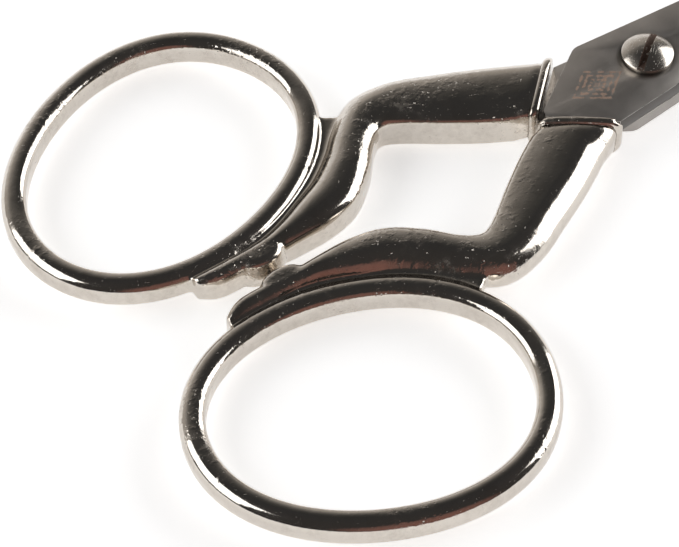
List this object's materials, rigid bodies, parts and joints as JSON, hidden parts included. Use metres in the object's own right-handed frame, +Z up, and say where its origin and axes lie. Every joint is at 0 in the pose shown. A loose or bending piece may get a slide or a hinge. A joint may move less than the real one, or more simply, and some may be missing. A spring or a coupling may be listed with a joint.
{
  "type": "sewing scissors",
  "caption": "Two-loop sewing scissors with straight pointed blades, cast metal handles with oval finger loops, and a slotted pivot screw.",
  "frame": {"origin": "on the pivot axis, in the plane the scissors lie on: the flat end of the pivot screw and lock nut", "axes": "+X along the closed blades to the tips, +Z up along the pivot axis to the screw's slotted head; the closed scissors lie either side of y = 0, the rear half's handle at +Y"},
  "size_m": [0.1951, 0.117, 0.011],
  "materials": {
    "blackened_steel": "blackened, satin ground",
    "nickel_plated_casting": "polished nickel plate on a zinc die casting, with fine pits",
    "nickel_plated_screw": "polished nickel plate on turned steel",
    "zinc_plated_nut": "dull zinc plate"
  },
  "bodies": {
    "rear_half": {"rear_blade": "blackened_steel", "rear_handle": "nickel_plated_casting", "pivot_screw": "nickel_plated_screw", "lock_nut": "zinc_plated_nut", "lock_washer": "zinc_plated_nut"},
    "front_half": {"front_blade": "blackened_steel", "front_handle": "nickel_plated_casting"}
  },
  "joints": [
    {"name": "pivot", "type": "hinge", "parent": "rear_half", "child": "front_half", "pos_m": [0, 0, 0.0059], "axis": [0, 0, 1], "range_deg": [0, 75]}
  ]
}
